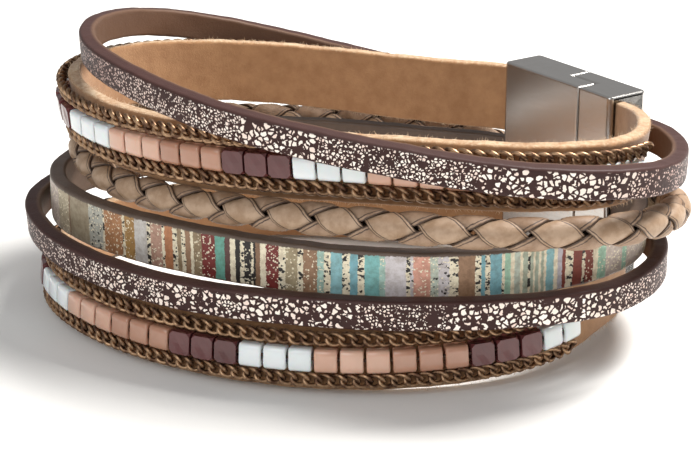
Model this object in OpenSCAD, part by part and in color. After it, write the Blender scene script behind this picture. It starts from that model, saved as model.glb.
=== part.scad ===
// Layered leather bracelet: six strands on one magnetic clasp, lying on its side on the floor.
// Millimetres, +Z up. The wrist goes through along Z, the clasp is at the back right.

/* [Clasp] */
// Length of the closed clasp along the wrist
clasp_l = 20.5; // [20.3:0.1:21]
// Height of the clasp, which stands on the floor
clasp_h = 27.5; // [27.5:0.1:29]
// Thickness of the clasp from its inner to its outer face
clasp_t = 6.0; // [6:0.1:6.6]
// Wall round the two mouths that the strands enter
clasp_wall = 0.8; // [0.6:0.05:0.8]
// Radius of the four upright edges
clasp_edge = 0.6; // [0.3:0.1:1]
// Length of the right half on its inner face
right_l = 5.9; // [5.7:0.1:6.4]
// How far the right half's tongue laps over the left half
lap_l = 4.6; // [3:0.1:5]

/* [Straps] */
// Width of the two suede straps in the clasp
suede_w = 8.8; // [8.2:0.1:8.8]
// Width of the suede straps where they carry the trim
suede_front_w = 8.0; // [7.8:0.1:8]
// Thickness of the suede
suede_t = 1.6; // [1.2:0.1:1.6]
// Width of the two foil-printed straps
foil_w = 3.6; // [3.2:0.1:3.6]
// Thickness of the foil-printed straps
foil_t = 2.0; // [1.6:0.1:2]
// Width of the striped strap
striped_w = 5.9; // [5.3:0.1:5.9]
// Thickness of the striped strap
striped_t = 2.0; // [1.6:0.1:2]
// Thickness of the striped strap where it is pared down to enter the clasp
pared_t = 1.6; // [1.2:0.1:1.6]

/* [Braid] */
// Outer diameter of the braided cord
braid_d = 4.0; // [3.4:0.1:4]
// Length in which one strand goes once round the cord
braid_turn = 12; // [10:0.5:14]
// Size of the braid where it is pressed flat to enter the clasp, as a share of its diameter
braid_pressed = 0.48; // [0.4:0.01:0.5]

/* [Trim] */
// Length along the strap, and height, of a square bead
bead = 2.7; // [2.5:0.05:2.7]
// Thickness of a bead from its back to its face
bead_t = 1.8; // [1.7:0.1:1.9]
// Distance from bead to bead along the strap's face
bead_pitch = 2.9; // [2.9:0.05:3.2]
// Bore of a bead
bead_hole = 1.05; // [1:0.05:1.1]
// Diameter of the thread through the beads
thread_d = 0.4; // [0.3:0.05:0.4]
// Width of a chain that lies beside the beads
chain_w = 2.0; // [1.6:0.1:2]
// Height of a chain above the strap's face
chain_h = 1.8; // [1.4:0.1:1.8]
// Gap under the trim and beside the beads
seat = 0.14; // [0.13:0.01:0.16]
// How far the beads sit above the middle of the upper suede strap
upper_trim_up = 0.5; // [0:0.1:0.5]
// How far the beads sit above the middle of the lower suede strap
lower_trim_up = 0; // [-0.3:0.1:0.3]
// Bare length of strap before the trim starts
bare_start = 17.6; // [15:0.1:20]
// Bare length of strap after the trim ends
bare_end = 24; // [22:1:30]

/* [Hidden] */
$fn = 48;

// From the ring's centre, where the routes are measured, to the middle of the whole part's box
ORIGIN = [0.42, 4.94, 0];

// The clasp's middle and the way it faces, seen from above
clasp_x = 23.0;
clasp_y = 23.3;
clasp_turn = -35.4;
joint_gap = 0.1;
// How deep the strands go into each half, and how far a cut reaches past the clasp's end
mouth_left = 5.5;
mouth_right = 5.1;
cut_past = 0.5;

// Columns of a route: the strand's middle, and how far its upper edge leans outwards, in degrees
LEAN = 3;
UPPER_SUEDE = [
    [18.2, 25.2, 22.2, 0], [16.2, 26.7, 22.2, 0], [14.4, 28.2, 22.2, 0], [11.2, 29, 22.1, 0],
    [3, 27.6, 22.3, 0],
    [-9, 27.6, 22.6, 0], [-20, 26, 23.2, 0], [-30, 20.6, 24.1, 4], [-36, 12.5, 24.9, 8],
    [-36.8, 3, 25.5, 10], [-33.2, -4.8, 25, 8], [-25.4, -10.2, 24.3, 3], [-15, -14.8, 24.8, 0],
    [-3, -17, 25.4, 0], [9, -17, 26.2, 2], [21, -15.8, 26.2, 4], [31, -12.4, 26, 8],
    [36.4, -6, 25.4, 10], [36.2, 2, 24.5, 8], [34.4, 9.5, 23.3, 4], [32.6, 14, 22.4, 0],
    [30.5, 16.8, 22.2, 0], [28.6, 17.9, 22.2, 0], [26.8, 19.2, 22.2, 0]];
UPPER_FOIL = [
    [19.4, 27.1, 22.6, 0], [17.4, 28.5, 22.6, 0], [15.4, 29.8, 22.5, 0], [12.6, 31.6, 22.1, 0],
    [5, 33, 21.8, 0],
    [-6, 33.4, 23.2, 0], [-17, 32.4, 25.2, 0], [-27.5, 28.6, 27.8, 0], [-34.4, 20.8, 30.4, 0],
    [-36.5, 10.8, 32.2, 0], [-34.8, 0.8, 32.9, 2], [-29.4, -7.6, 32.9, 4], [-21.5, -14.4, 32.8, 4],
    [-10.5, -20.3, 31.8, 4], [1, -23, 30.8, 3], [13.5, -23.4, 29.8, 3], [26, -21.4, 28.2, 4],
    [35.6, -16.8, 27.3, 5], [41.2, -9.2, 26, 4], [41.5, -0.5, 24.8, 2], [39.6, 8, 23.8, 0],
    [36.4, 14.6, 23, 0], [33.4, 17.6, 22.7, 0], [31.2, 18.6, 22.6, 0], [29.6, 19.8, 22.6, 0],
    [28, 20.9, 22.6, 0]];
STRIPED = [
    [18.2, 25.2, 13.8, 0], [16.2, 26.7, 13.8, 0], [14.4, 28.2, 13.8, 0], [11.2, 29, 13.9, 0],
    [3, 27.6, 14.1, 0],
    [-9, 27, 14.2, 0], [-20, 24.8, 14.2, 0], [-30.5, 19.2, 14.2, 0], [-37.5, 9.8, 14.1, 0],
    [-39, -0.4, 14, 0], [-34.5, -9, 14.1, 0], [-25.5, -14.8, 14.2, 0], [-14, -18.4, 14.4, 0],
    [-2, -20.2, 14.6, 0], [10, -19.6, 14.4, 0], [21, -16.2, 14.6, 2], [30, -10.2, 14.8, 2],
    [35.6, -2.6, 15, 2], [36.2, 5, 15, 0], [34.6, 10.8, 14.4, 0], [32.6, 14.2, 14, 0],
    [30.4, 16.7, 13.8, 0], [28.6, 17.9, 13.8, 0], [26.8, 19.2, 13.8, 0]];
BRAID = [
    [19.4, 27.1, 14.8, 0], [17.4, 28.5, 14.8, 0], [15.4, 29.8, 14.8, 0], [12.6, 31.6, 14.9, 0],
    [5, 32.8, 15.1, 0],
    [-6, 32.2, 15.3, 0], [-17, 30.6, 15.6, 0], [-28, 26, 16, 0], [-36.6, 18.6, 17.8, 0],
    [-39.2, 8.7, 19.1, 0], [-35.5, -0.5, 18.7, 0], [-29, -8, 18.2, 0], [-20.6, -14, 18.8, 0],
    [-8, -18.4, 19.7, 0], [6, -20.4, 20.8, 0], [20, -20.2, 21, 0], [31.5, -17, 20.9, 0],
    [39.2, -10.2, 20.4, 0], [41.2, -1, 19, 0], [39.8, 8, 17.4, 0], [36.6, 14.8, 15.6, 0],
    [33.4, 17.7, 15, 0], [31.2, 18.6, 14.8, 0], [29.6, 19.8, 14.8, 0], [28, 20.9, 14.8, 0]];
LOWER_FOIL = [
    [19.4, 27.1, 9.7, 0], [17.4, 28.5, 9.7, 0], [15.4, 29.8, 9.7, 0], [12.6, 31.2, 9.8, 0],
    [5, 31.8, 10, 0],
    [-6, 31.2, 10.3, 0], [-17, 29.2, 10.7, 0], [-28.5, 24, 11, 0], [-37.4, 15.2, 11.4, 0],
    [-41.6, 4, 11.6, 0], [-40, -7, 12, 4], [-32.5, -15.8, 11.3, 6], [-22.5, -20.6, 10.7, 5],
    [-10.5, -23.4, 10.4, 3], [2, -23.6, 10.8, 2], [14, -22, 11, 2], [26, -17.2, 11.1, 2],
    [35, -10.2, 10.8, 0], [38.8, -2.6, 10.9, 0], [38.9, 5.4, 10.9, 0], [36.6, 13, 10.2, 0],
    [33.4, 17.2, 9.8, 0], [31.2, 18.6, 9.7, 0], [29.6, 19.8, 9.7, 0], [28, 20.9, 9.7, 0]];
LOWER_SUEDE = [
    [18.2, 25.2, 5.3, 0], [16.2, 26.7, 5.3, 0], [14.4, 28.2, 5.3, 0], [11.2, 29, 5.2, 0],
    [3, 27.6, 5, 0],
    [-9, 26.8, 4.7, 0], [-20, 24.2, 4.5, 0], [-30, 18.6, 4.5, -6], [-37.4, 9.8, 4.3, -3],
    [-38.6, -0.4, 4.1, -6], [-34.4, -9.7, 4.1, -6], [-24.9, -16.9, 4.1, -6], [-13.4, -21, 4.1, -6],
    [-1, -21.6, 4.1, -6], [10.5, -19.6, 4.3, -6], [20.2, -15, 4.8, -4], [27.4, -8.8, 5.2, -2],
    [30.8, -1.2, 6, 0], [32, 6, 6, 0], [32.5, 11.2, 5.7, 0], [32, 14.6, 5.4, 0],
    [30.4, 16.7, 5.3, 0], [28.6, 17.9, 5.3, 0], [26.8, 19.2, 5.3, 0]];

// Rings of a strap between two points of its route, and between two crossings of the braid
strap_steps = 3;
cross_steps = 3;
// Points of a route that lie in the clasp's mouth, and over which a strand then gets its full size
mouth_points = 2;
pare_points = 2;
// Points of a route over which the suede narrows, once it has left the mouth
narrow_from = 3;
narrow_points = 5;
// Rounding of a strap's long edges, as a share of its thickness
edge_share = 0.3;
// Sides of a chain and of a thread, and steps of a ruler between two points of a route
chain_sides = 8;
thread_sides = 6;
ruler_steps = 6;

// The braid's strands swing between an outer and an inner circle as they pass over and under
braid_r = braid_d / 2;
braid_mid = 0.54 * braid_r;
braid_swing = 0.28 * braid_r;
strand_half_h = 0.18 * braid_r;
strand_half_w = 0.32 * braid_r;

// Columns of a place on a route: the point, and the ways along, outwards and up
AT = 0;
ALONG = 1;
OUT = 2;
UP = 3;

function unit(v) = v / norm(v);
function xyz(p) = [p[0], p[1], p[2]];
function smooth(x) = let (t = min(1, max(0, x))) t * t * (3 - 2 * t);

// A route is a uniform cubic spline with one more point added past each end
function padded(c) = concat([2 * c[0] - c[1]], c, [2 * c[len(c) - 1] - c[len(c) - 2]]);
function weights(t) = [pow(1 - t, 3), 3 * t * t * t - 6 * t * t + 4,
    -3 * t * t * t + 3 * t * t + 3 * t + 1, t * t * t] / 6;
function slopes(t) = [-pow(1 - t, 2), 3 * t * t - 4 * t, -3 * t * t + 2 * t + 1, t * t] / 2;
function mix(p, i, w) = w[0] * p[i] + w[1] * p[i + 1] + w[2] * p[i + 2] + w[3] * p[i + 3];

// The place at u, which counts the route's points from 0
function place(c, u) = let (
        p = padded(c),
        i = min(floor(u), len(c) - 2),
        point = mix(p, i, weights(u - i)),
        along = unit(xyz(mix(p, i, slopes(u - i)))),
        side = unit(cross(along, [0, 0, 1])),
        rise = cross(side, along),
        a = point[LEAN])
    [xyz(point) - ORIGIN, along, side * cos(a) - rise * sin(a), rise * cos(a) + side * sin(a)];

function shift(f, out, up) = f[AT] + f[OUT] * out + f[UP] * up;

// Pairs of length and u along a line that lies off the route by out, for lookup()
function ruler(c, out) = let (
        n = ruler_steps * (len(c) - 1),
        p = [for (k = [0:n]) shift(place(c, k / ruler_steps), out, 0)])
    [for (k = 0, s = 0; k <= n; s = s + (k < n ? norm(p[k + 1] - p[k]) : 0), k = k + 1)
        [s, k / ruler_steps]];
function total(r) = r[len(r) - 1][0];

// How far a place is from the ends, from 0 near the clasp to 1 along the free length
function free_share(c, u, from, over) = smooth((min(u, len(c) - 1 - u) - from) / over);
function freed(c, u) = free_share(c, u, mouth_points, pare_points);

// Rings of equal point count joined by triangles, closed with a cap at each end
module sweep(rings) {
    n = len(rings);
    m = len(rings[0]);
    start_cap = [for (j = [m - 1:-1:0]) j];
    end_cap = [for (j = [0:m - 1]) (n - 1) * m + j];
    sides = [for (i = [0:n - 2]) for (j = [0:m - 1])
        let (a = i * m + j, b = i * m + (j + 1) % m)
        each [[a, b, b + m], [a, b + m, a + m]]];
    polyhedron([for (r = rings) each r], concat([start_cap], sides, [end_cap]));
}

function strap_ring(f, half_t, half_w, r) = [for (q = [
        [half_t, r - half_w], [half_t, half_w - r], [half_t - r, half_w], [r - half_t, half_w],
        [-half_t, half_w - r], [-half_t, r - half_w], [r - half_t, -half_w], [half_t - r, -half_w]])
    shift(f, q[0], q[1])];

function oval_ring(f, out, up, half_out, half_up, sides) = [for (j = [0:sides - 1])
    let (a = (j + 0.5) * 360 / sides)
    shift(f, out + half_out * cos(a), up + half_up * sin(a))];

// A flat strap along a route: end_w by end_t where it enters the clasp, then front_w by t
module strap(route, end_w, front_w, end_t, t) {
    last = strap_steps * (len(route) - 1);
    sweep([for (k = [0:last])
        let (
            u = k / strap_steps,
            w = end_w + (front_w - end_w) * free_share(route, u, narrow_from, narrow_points),
            thick = end_t + (t - end_t) * freed(route, u))
        strap_ring(place(route, u), thick / 2, w / 2, edge_share * thick)]);
}

// The stretch of a suede strap that carries trim, as the first and last ring of the strap
function trim_rings(route) = let (r = ruler(route, suede_t / 2))
    [ceil(strap_steps * lookup(bare_start, r)), floor(strap_steps * lookup(total(r) - bare_end, r))];

module chain(route, trim_up, side) {
    ends = trim_rings(route);
    out = suede_t / 2 + seat + chain_h / 2;
    up = trim_up + side * (bead / 2 + seat + chain_w / 2);
    sweep([for (k = [ends[0]:ends[1]])
        oval_ring(place(route, k / strap_steps), out, up, chain_h / 2, chain_w / 2, chain_sides)]);
}

// u of each bead's middle, one pitch apart along the strap's face
function bead_places(route) = let (
        r = ruler(route, suede_t / 2),
        count = floor((total(r) - bare_start - bare_end) / bead_pitch) - 1)
    [for (k = [0:count - 1]) lookup(bare_start + bead_pitch * (k + 1), r)];

module bead_row(route, trim_up) {
    out = suede_t / 2 + seat + bead_t / 2;
    for (u = bead_places(route)) {
        f = place(route, u);
        way = f[ALONG];
        lean = asin(f[UP] * unit(cross(way, [0, 0, 1])));
        translate(shift(f, out, trim_up)) rotate([lean, -asin(way[2]), atan2(way[1], way[0])])
            difference() {
                cube([bead, bead_t, bead], center = true);
                rotate([0, 90, 0]) cylinder(d = bead_hole, h = bead + 2 * cut_past, center = true);
            }
    }
}

// The thread goes from bead to bead, and a pitch past the first and the last
module bead_thread(route, trim_up) {
    out = suede_t / 2 + seat + bead_t / 2;
    r = ruler(route, suede_t / 2);
    inner = bead_places(route);
    ends = [lookup(bare_start, r), lookup(bare_start + bead_pitch * (len(inner) + 1), r)];
    sweep([for (u = concat([ends[0]], inner, [ends[1]]))
        oval_ring(place(route, u), out, trim_up, thread_d / 2, thread_d / 2, thread_sides)]);
}

// One of the braid's four strands: two go round one way and two the other
module braid_strand(turn_way, start) {
    r = ruler(BRAID, 0);
    crossings = floor(4 * total(r) / braid_turn);
    sweep([for (k = [0:cross_steps * crossings])
        let (
            swing = 90 * k / cross_steps,
            u = lookup(k * total(r) / (cross_steps * crossings), r),
            f = place(BRAID, u),
            size = braid_pressed + (1 - braid_pressed) * freed(BRAID, u),
            a = turn_way * swing + start,
            d = size * (braid_mid + turn_way * braid_swing * cos(2 * swing)),
            radial = f[OUT] * cos(a) + f[UP] * sin(a),
            tangent = f[UP] * cos(a) - f[OUT] * sin(a))
        [for (j = [0:3])
            let (b = 90 * j)
            f[AT] + radial * (d + size * strand_half_h * cos(b)) + tangent * size * strand_half_w * sin(b)]]);
}

// The closed clasp seen from above, with its upright edges rounded
module clasp_plan() {
    square([clasp_l - 2 * clasp_edge, clasp_t], center = true);
    square([clasp_l, clasp_t - 2 * clasp_edge], center = true);
    for (x = [-1, 1]) for (y = [-1, 1])
        translate([x * (clasp_l / 2 - clasp_edge), y * (clasp_t / 2 - clasp_edge)]) circle(clasp_edge);
}

// The right half's share of the plan: its own length, and the tongue along the outer face
module right_share(gap) {
    joint_x = clasp_l / 2 - right_l - gap / 2;
    translate([joint_x, -clasp_t]) square([clasp_l, 2 * clasp_t]);
    translate([joint_x - lap_l, -gap / 2]) square([clasp_l, clasp_t]);
}

module mouth(side, depth) {
    slot_t = clasp_t - 2 * clasp_wall;
    translate([side * (clasp_l / 2 - depth / 2 + cut_past), 0, clasp_h / 2])
        cube([depth + 2 * cut_past, slot_t, clasp_h - 2 * clasp_wall], center = true);
}

module in_clasp_place() {
    translate([clasp_x, clasp_y, 0] - ORIGIN) rotate([0, 0, clasp_turn]) children();
}

module clasp_left() {
    color("silver") in_clasp_place() difference() {
        linear_extrude(clasp_h) difference() {
            clasp_plan();
            right_share(joint_gap);
        }
        mouth(-1, mouth_left);
    }
}

module clasp_right() {
    color("lightgray") in_clasp_place() difference() {
        linear_extrude(clasp_h) intersection() {
            clasp_plan();
            right_share(-joint_gap);
        }
        mouth(1, mouth_right);
    }
}

module suede_strap(route) { color([0.68, 0.5, 0.35]) strap(route, suede_w, suede_front_w, suede_t, suede_t); }
module foil_strap(route) { color([0.25, 0.18, 0.15]) strap(route, foil_w, foil_w, foil_t, foil_t); }

module suede_strap_upper() { suede_strap(UPPER_SUEDE); }
module suede_strap_lower() { suede_strap(LOWER_SUEDE); }
module foil_strap_upper() { foil_strap(UPPER_FOIL); }
module foil_strap_lower() { foil_strap(LOWER_FOIL); }
module striped_strap() { color([0.55, 0.65, 0.65]) strap(STRIPED, striped_w, striped_w, pared_t, striped_t); }
module braid_strand_1() { color([0.7, 0.58, 0.45]) braid_strand(1, 0); }
module braid_strand_2() { color([0.7, 0.58, 0.45]) braid_strand(1, 180); }
module braid_strand_3() { color([0.65, 0.53, 0.4]) braid_strand(-1, 0); }
module braid_strand_4() { color([0.65, 0.53, 0.4]) braid_strand(-1, 180); }
module bead_row_upper() { color("white") bead_row(UPPER_SUEDE, upper_trim_up); }
module bead_row_lower() { color("white") bead_row(LOWER_SUEDE, lower_trim_up); }
module bead_thread_upper() { color([0.4, 0.3, 0.25]) bead_thread(UPPER_SUEDE, upper_trim_up); }
module bead_thread_lower() { color([0.4, 0.3, 0.25]) bead_thread(LOWER_SUEDE, lower_trim_up); }
module chain_upper_high() { color([0.6, 0.43, 0.28]) chain(UPPER_SUEDE, upper_trim_up, 1); }
module chain_upper_low() { color([0.6, 0.43, 0.28]) chain(UPPER_SUEDE, upper_trim_up, -1); }
module chain_lower_high() { color([0.6, 0.43, 0.28]) chain(LOWER_SUEDE, lower_trim_up, 1); }
module chain_lower_low() { color([0.6, 0.43, 0.28]) chain(LOWER_SUEDE, lower_trim_up, -1); }

clasp_left();
clasp_right();
suede_strap_upper();
suede_strap_lower();
foil_strap_upper();
foil_strap_lower();
striped_strap();
braid_strand_1();
braid_strand_2();
braid_strand_3();
braid_strand_4();
bead_row_upper();
bead_row_lower();
bead_thread_upper();
bead_thread_lower();
chain_upper_high();
chain_upper_low();
chain_lower_high();
chain_lower_low();
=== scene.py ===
# %% [markdown]
# # A layered leather bracelet
# Six strands lie side by side in one magnetic clasp: two suede straps that carry square beads between two
# curb chains, two straps printed with cracked foil, a striped strap and a braided cord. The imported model
# gives the sizes and places. Everything here is built around it, in metres, in the same frame. A strand's
# pieces are made from its route, the line along it, so that beads, links and cuts sit where the model has
# them.

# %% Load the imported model
import math

import bmesh
import bpy
import numpy as np
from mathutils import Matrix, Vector


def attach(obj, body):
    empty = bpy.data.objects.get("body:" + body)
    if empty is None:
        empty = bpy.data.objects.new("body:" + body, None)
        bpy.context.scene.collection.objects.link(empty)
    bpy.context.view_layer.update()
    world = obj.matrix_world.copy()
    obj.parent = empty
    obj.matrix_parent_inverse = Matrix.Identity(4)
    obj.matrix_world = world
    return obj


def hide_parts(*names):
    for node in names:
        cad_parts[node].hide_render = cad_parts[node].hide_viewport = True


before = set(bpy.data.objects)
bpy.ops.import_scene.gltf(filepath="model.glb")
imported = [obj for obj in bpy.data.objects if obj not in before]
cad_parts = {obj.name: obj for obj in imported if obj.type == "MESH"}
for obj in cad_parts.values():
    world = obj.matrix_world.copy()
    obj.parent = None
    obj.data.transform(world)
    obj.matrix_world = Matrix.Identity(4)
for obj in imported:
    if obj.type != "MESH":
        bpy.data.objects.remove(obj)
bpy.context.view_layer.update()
scene = bpy.context.scene
MM = 0.001
print("nodes:", sorted(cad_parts))

# %% [markdown]
# ## Camera, floor and light
# The photograph looks down on the bracelet by about 20 degrees through a long lens, from about 20 degrees
# to the right of straight on. A catalogue picture has a pale sweep and large soft lights, so the shadows
# stay faint. A plain diffuse floor with two area lights and a pale world gives the same, and the metal gets
# something bright to mirror.

# %% Camera
LOOK_DOWN = math.radians(20.5)
LOOK_ROUND = math.radians(19.7)
EYE = Vector((78.59, -222.65, 97.6)) * MM

lens = bpy.data.cameras.new("camera")
lens.lens = 102.857
lens.sensor_width = 36
lens.clip_start = 0.01
camera = bpy.data.objects.new("camera", lens)
camera.location = EYE
camera.rotation_euler = (math.pi / 2 - LOOK_DOWN, 0, LOOK_ROUND)
scene.collection.objects.link(camera)
scene.camera = camera
scene.view_settings.view_transform = "Standard"
print("camera at", [round(c / MM, 1) for c in EYE], "mm")

# %% Helpers for node trees
def add(tree, kind, inputs=None, **settings):
    """A node with its settings, and inputs that are values or other nodes' outputs."""
    node = tree.nodes.new(kind)
    for name, value in settings.items():
        setattr(node, name, value)
    for name, value in (inputs or {}).items():
        if isinstance(value, bpy.types.NodeSocket):
            tree.links.new(value, node.inputs[name])
        else:
            node.inputs[name].default_value = value
    return node


def put(tree, kind, inputs=None, **settings):
    """The first output of a new node."""
    return add(tree, kind, inputs, **settings).outputs[0]


def link(tree, node, **sockets):
    """Outputs led to a node's inputs. An input's name has _ for each space."""
    for label, socket in sockets.items():
        tree.links.new(socket, node.inputs[label.replace("_", " ")])


def maths(tree, operation, a, b=0.0, c=0.0):
    return put(tree, "ShaderNodeMath", {0: a, 1: b, 2: c}, operation=operation)


def times(tree, a, b):
    return maths(tree, "MULTIPLY", a, b)


def scaled(tree, value, by, plus):
    return maths(tree, "MULTIPLY_ADD", value, by, plus)


def vectors(tree, operation, a, b):
    return put(tree, "ShaderNodeVectorMath", {0: a, 1: b}, operation=operation)


# %% Helpers for masks and colours
def ease(tree, value, low, high):
    """0 below low, 1 above high and smooth between them."""
    return put(tree, "ShaderNodeMapRange", {"Value": value, "From Min": low, "From Max": high},
               interpolation_type="SMOOTHSTEP")


def ease_off(tree, value, low, high):
    """1 below low, 0 above high and smooth between them."""
    return maths(tree, "SUBTRACT", 1.0, ease(tree, value, low, high))


def mix(tree, share, a, b, way="MIX"):
    """Two colours, blended."""
    return add(tree, "ShaderNodeMix", {0: share, 6: a, 7: b}, data_type="RGBA", blend_type=way).outputs[2]


def mix_values(tree, share, a, b):
    return put(tree, "ShaderNodeMix", {0: share, 2: a, 3: b}, data_type="FLOAT")


def noise(tree, vector, scale, detail=3.0, rough=0.5):
    return put(tree, "ShaderNodeTexNoise",
               {"Vector": vector, "Scale": scale, "Detail": detail, "Roughness": rough})


def object_place(tree):
    return add(tree, "ShaderNodeTexCoord").outputs["Object"]


def linear(hexed):
    """A colour as a screen shows it, such as 'c8a078', turned into light."""
    parts = [int(hexed[k:k + 2], 16) / 255 for k in (0, 2, 4)]
    return tuple(p / 12.92 if p < 0.04045 else ((p + 0.055) / 1.055) ** 2.4 for p in parts) + (1.0,)


def ramp(tree, value, stops, interpolation="LINEAR"):
    """A colour ramp's outputs, from a list of places and colours."""
    node = add(tree, "ShaderNodeValToRGB", {0: value})
    node.color_ramp.interpolation = interpolation
    marks = node.color_ramp.elements
    marks.remove(marks[-1])
    for k, (at, tint) in enumerate(stops):
        mark = marks[0] if k == 0 else marks.new(at)
        mark.position = at
        mark.color = tint
    return node.outputs


# %% Helpers for materials
def new_group(name, sockets):
    """A shader group. Each socket is (name, IN or OUT, kind), and may have a first value."""
    tree = bpy.data.node_groups.new(name, "ShaderNodeTree")
    for label, way, kind, *value in sockets:
        socket = tree.interface.new_socket(label, in_out=way + "PUT", socket_type="NodeSocket" + kind)
        if value:
            socket.default_value = value[0]
    return tree, tree.nodes.new("NodeGroupInput").outputs, tree.nodes.new("NodeGroupOutput")


def use(tree, group, inputs=None):
    return add(tree, "ShaderNodeGroup", inputs, node_tree=group).outputs


def new_material(name, **values):
    """A material with its shader's plain numbers set, and the tree and shader to build on."""
    material = bpy.data.materials.new(name)
    material.use_nodes = True
    shader = material.node_tree.nodes["Principled BSDF"]
    for label, value in values.items():
        shader.inputs[label.replace("_", " ")].default_value = value
    return material, material.node_tree, shader


def bump(tree, shader, height, depth_mm):
    link(tree, shader, Normal=put(tree, "ShaderNodeBump", {"Height": height, "Distance": depth_mm * MM}))


# %% Shared effects
# Where a point is on its strand, in millimetres: along it, outwards and upwards. A braided strip has instead
# its place across the strip there, from -1 to 1, and which face it is on.
strand_place, _, end = new_group("strand_place", [
    ("Along", "OUT", "Float"), ("Outwards", "OUT", "Float"), ("Upwards", "OUT", "Float"),
    ("Place", "OUT", "Vector")])
spot = add(strand_place, "ShaderNodeAttribute", attribute_name="place").outputs["Vector"]
split = add(strand_place, "ShaderNodeSeparateXYZ", {0: spot}).outputs
link(strand_place, end, Along=split["X"], Outwards=split["Y"], Upwards=split["Z"], Place=spot)

# Fine leather or suede grain, by its size in millimetres.
fine_grain, given, end = new_group("fine_grain", [
    ("Size", "IN", "Float", 0.4), ("Height", "OUT", "Float"), ("Tone", "OUT", "Float")])
where = object_place(fine_grain)
scale = maths(fine_grain, "DIVIDE", 1 / MM, given["Size"])
pores = add(fine_grain, "ShaderNodeTexVoronoi", {"Vector": where, "Scale": scale}, feature="SMOOTH_F1")
fine = noise(fine_grain, where, times(fine_grain, scale, 2.0), 4.0, 0.6)
broad = noise(fine_grain, where, times(fine_grain, scale, 0.15), 3.0, 0.6)
link(fine_grain, end, Height=scaled(fine_grain, pores.outputs["Distance"], 0.5, fine), Tone=broad)

# Flecks: cells of a given size with gaps between them, of which a share is lit.
CELL_REACH = 0.6
flecks, given, end = new_group("flecks", [
    ("Place", "IN", "Vector"), ("Size", "IN", "Float", 0.4), ("Share", "IN", "Float", 0.5),
    ("Gap", "IN", "Float", 0.08), ("Mask", "OUT", "Float"), ("Tone", "OUT", "Float")])
scale = maths(flecks, "DIVIDE", 1.0, given["Size"])
warp = add(flecks, "ShaderNodeTexNoise", {"Vector": given["Place"], "Scale": scale, "Detail": 2.0})
bent = vectors(flecks, "SUBTRACT", warp.outputs["Color"], (0.5, 0.5, 0.5))
shift = put(flecks, "ShaderNodeVectorMath", {0: bent, "Scale": given["Size"]}, operation="SCALE")
cells = {"Vector": vectors(flecks, "ADD", given["Place"], shift), "Scale": scale}
cell = add(flecks, "ShaderNodeTexVoronoi", cells).outputs
rim = add(flecks, "ShaderNodeTexVoronoi", cells, feature="DISTANCE_TO_EDGE").outputs
chance = add(flecks, "ShaderNodeSeparateColor", {0: cell["Color"]}).outputs
lit = maths(flecks, "LESS_THAN", chance[0], given["Share"])
solid = times(flecks, maths(flecks, "GREATER_THAN", rim["Distance"], given["Gap"]),
              maths(flecks, "LESS_THAN", cell["Distance"], CELL_REACH))
link(flecks, end, Mask=times(flecks, lit, solid), Tone=chance[1])
print("shared effects:", strand_place.name, fine_grain.name, flecks.name)

# %% Floor and lights
paper, tree, shader = new_material("floor_paper", Roughness=0.9)
where = object_place(tree)
link(tree, shader, Base_Color=mix(tree, noise(tree, where, 4.0), linear("f2f1ee"), linear("f6f5f3")))
bump(tree, shader, noise(tree, where, 900.0), 0.02)

HALF_FLOOR = 2.0
corners = [(x * HALF_FLOOR, y * HALF_FLOOR, 0) for x, y in ((-1, -1), (1, -1), (1, 1), (-1, 1))]
floor_mesh = bpy.data.meshes.new("floor")
floor_mesh.from_pydata(corners, [], [(0, 1, 2, 3)])
floor_mesh.materials.append(paper)
floor = bpy.data.objects.new("floor", floor_mesh)
scene.collection.objects.link(floor)


def soft_light(name, place_mm, size_mm, watts, tint):
    """A square light that faces the bracelet."""
    lamp = bpy.data.lights.new(name, "AREA")
    lamp.size = size_mm * MM
    lamp.energy = watts
    lamp.color = tint
    holder = bpy.data.objects.new(name, lamp)
    holder.location = Vector(place_mm) * MM
    holder.rotation_euler = (-holder.location).to_track_quat("-Z", "Y").to_euler()
    scene.collection.objects.link(holder)


soft_light("key", (170, 130, 380), 160, 3.4, (1.0, 0.98, 0.95))
soft_light("fill", (-60, -420, 260), 320, 0.8, (0.96, 0.98, 1.0))
world = bpy.data.worlds.new("pale_room")
world.use_nodes = True
room = world.node_tree.nodes["Background"].inputs
room["Color"].default_value = (1, 1, 1, 1)
room["Strength"].default_value = 0.36
scene.world = world

# %% [markdown]
# ## Routes
# A strand's route is a short table of points that a smooth spline passes near. The tables and the spline
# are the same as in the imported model's source, which a scene can't read, so they are written out once more.
# From a route come a point and three ways at any place: along the strand, outwards and up.

# %% The strands' routes
# Columns: x, y and z of the strand's middle in millimetres, and how far its upper edge leans out, in degrees
UPPER_SUEDE = [
    (18.2, 25.2, 22.2, 0), (16.2, 26.7, 22.2, 0), (14.4, 28.2, 22.2, 0), (11.2, 29, 22.1, 0),
    (3, 27.6, 22.3, 0), (-9, 27.6, 22.6, 0), (-20, 26, 23.2, 0), (-30, 20.6, 24.1, 4),
    (-36, 12.5, 24.9, 8), (-36.8, 3, 25.5, 10), (-33.2, -4.8, 25, 8), (-25.4, -10.2, 24.3, 3),
    (-15, -14.8, 24.8, 0), (-3, -17, 25.4, 0), (9, -17, 26.2, 2), (21, -15.8, 26.2, 4),
    (31, -12.4, 26, 8), (36.4, -6, 25.4, 10), (36.2, 2, 24.5, 8), (34.4, 9.5, 23.3, 4),
    (32.6, 14, 22.4, 0), (30.5, 16.8, 22.2, 0), (28.6, 17.9, 22.2, 0), (26.8, 19.2, 22.2, 0),
]
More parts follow.
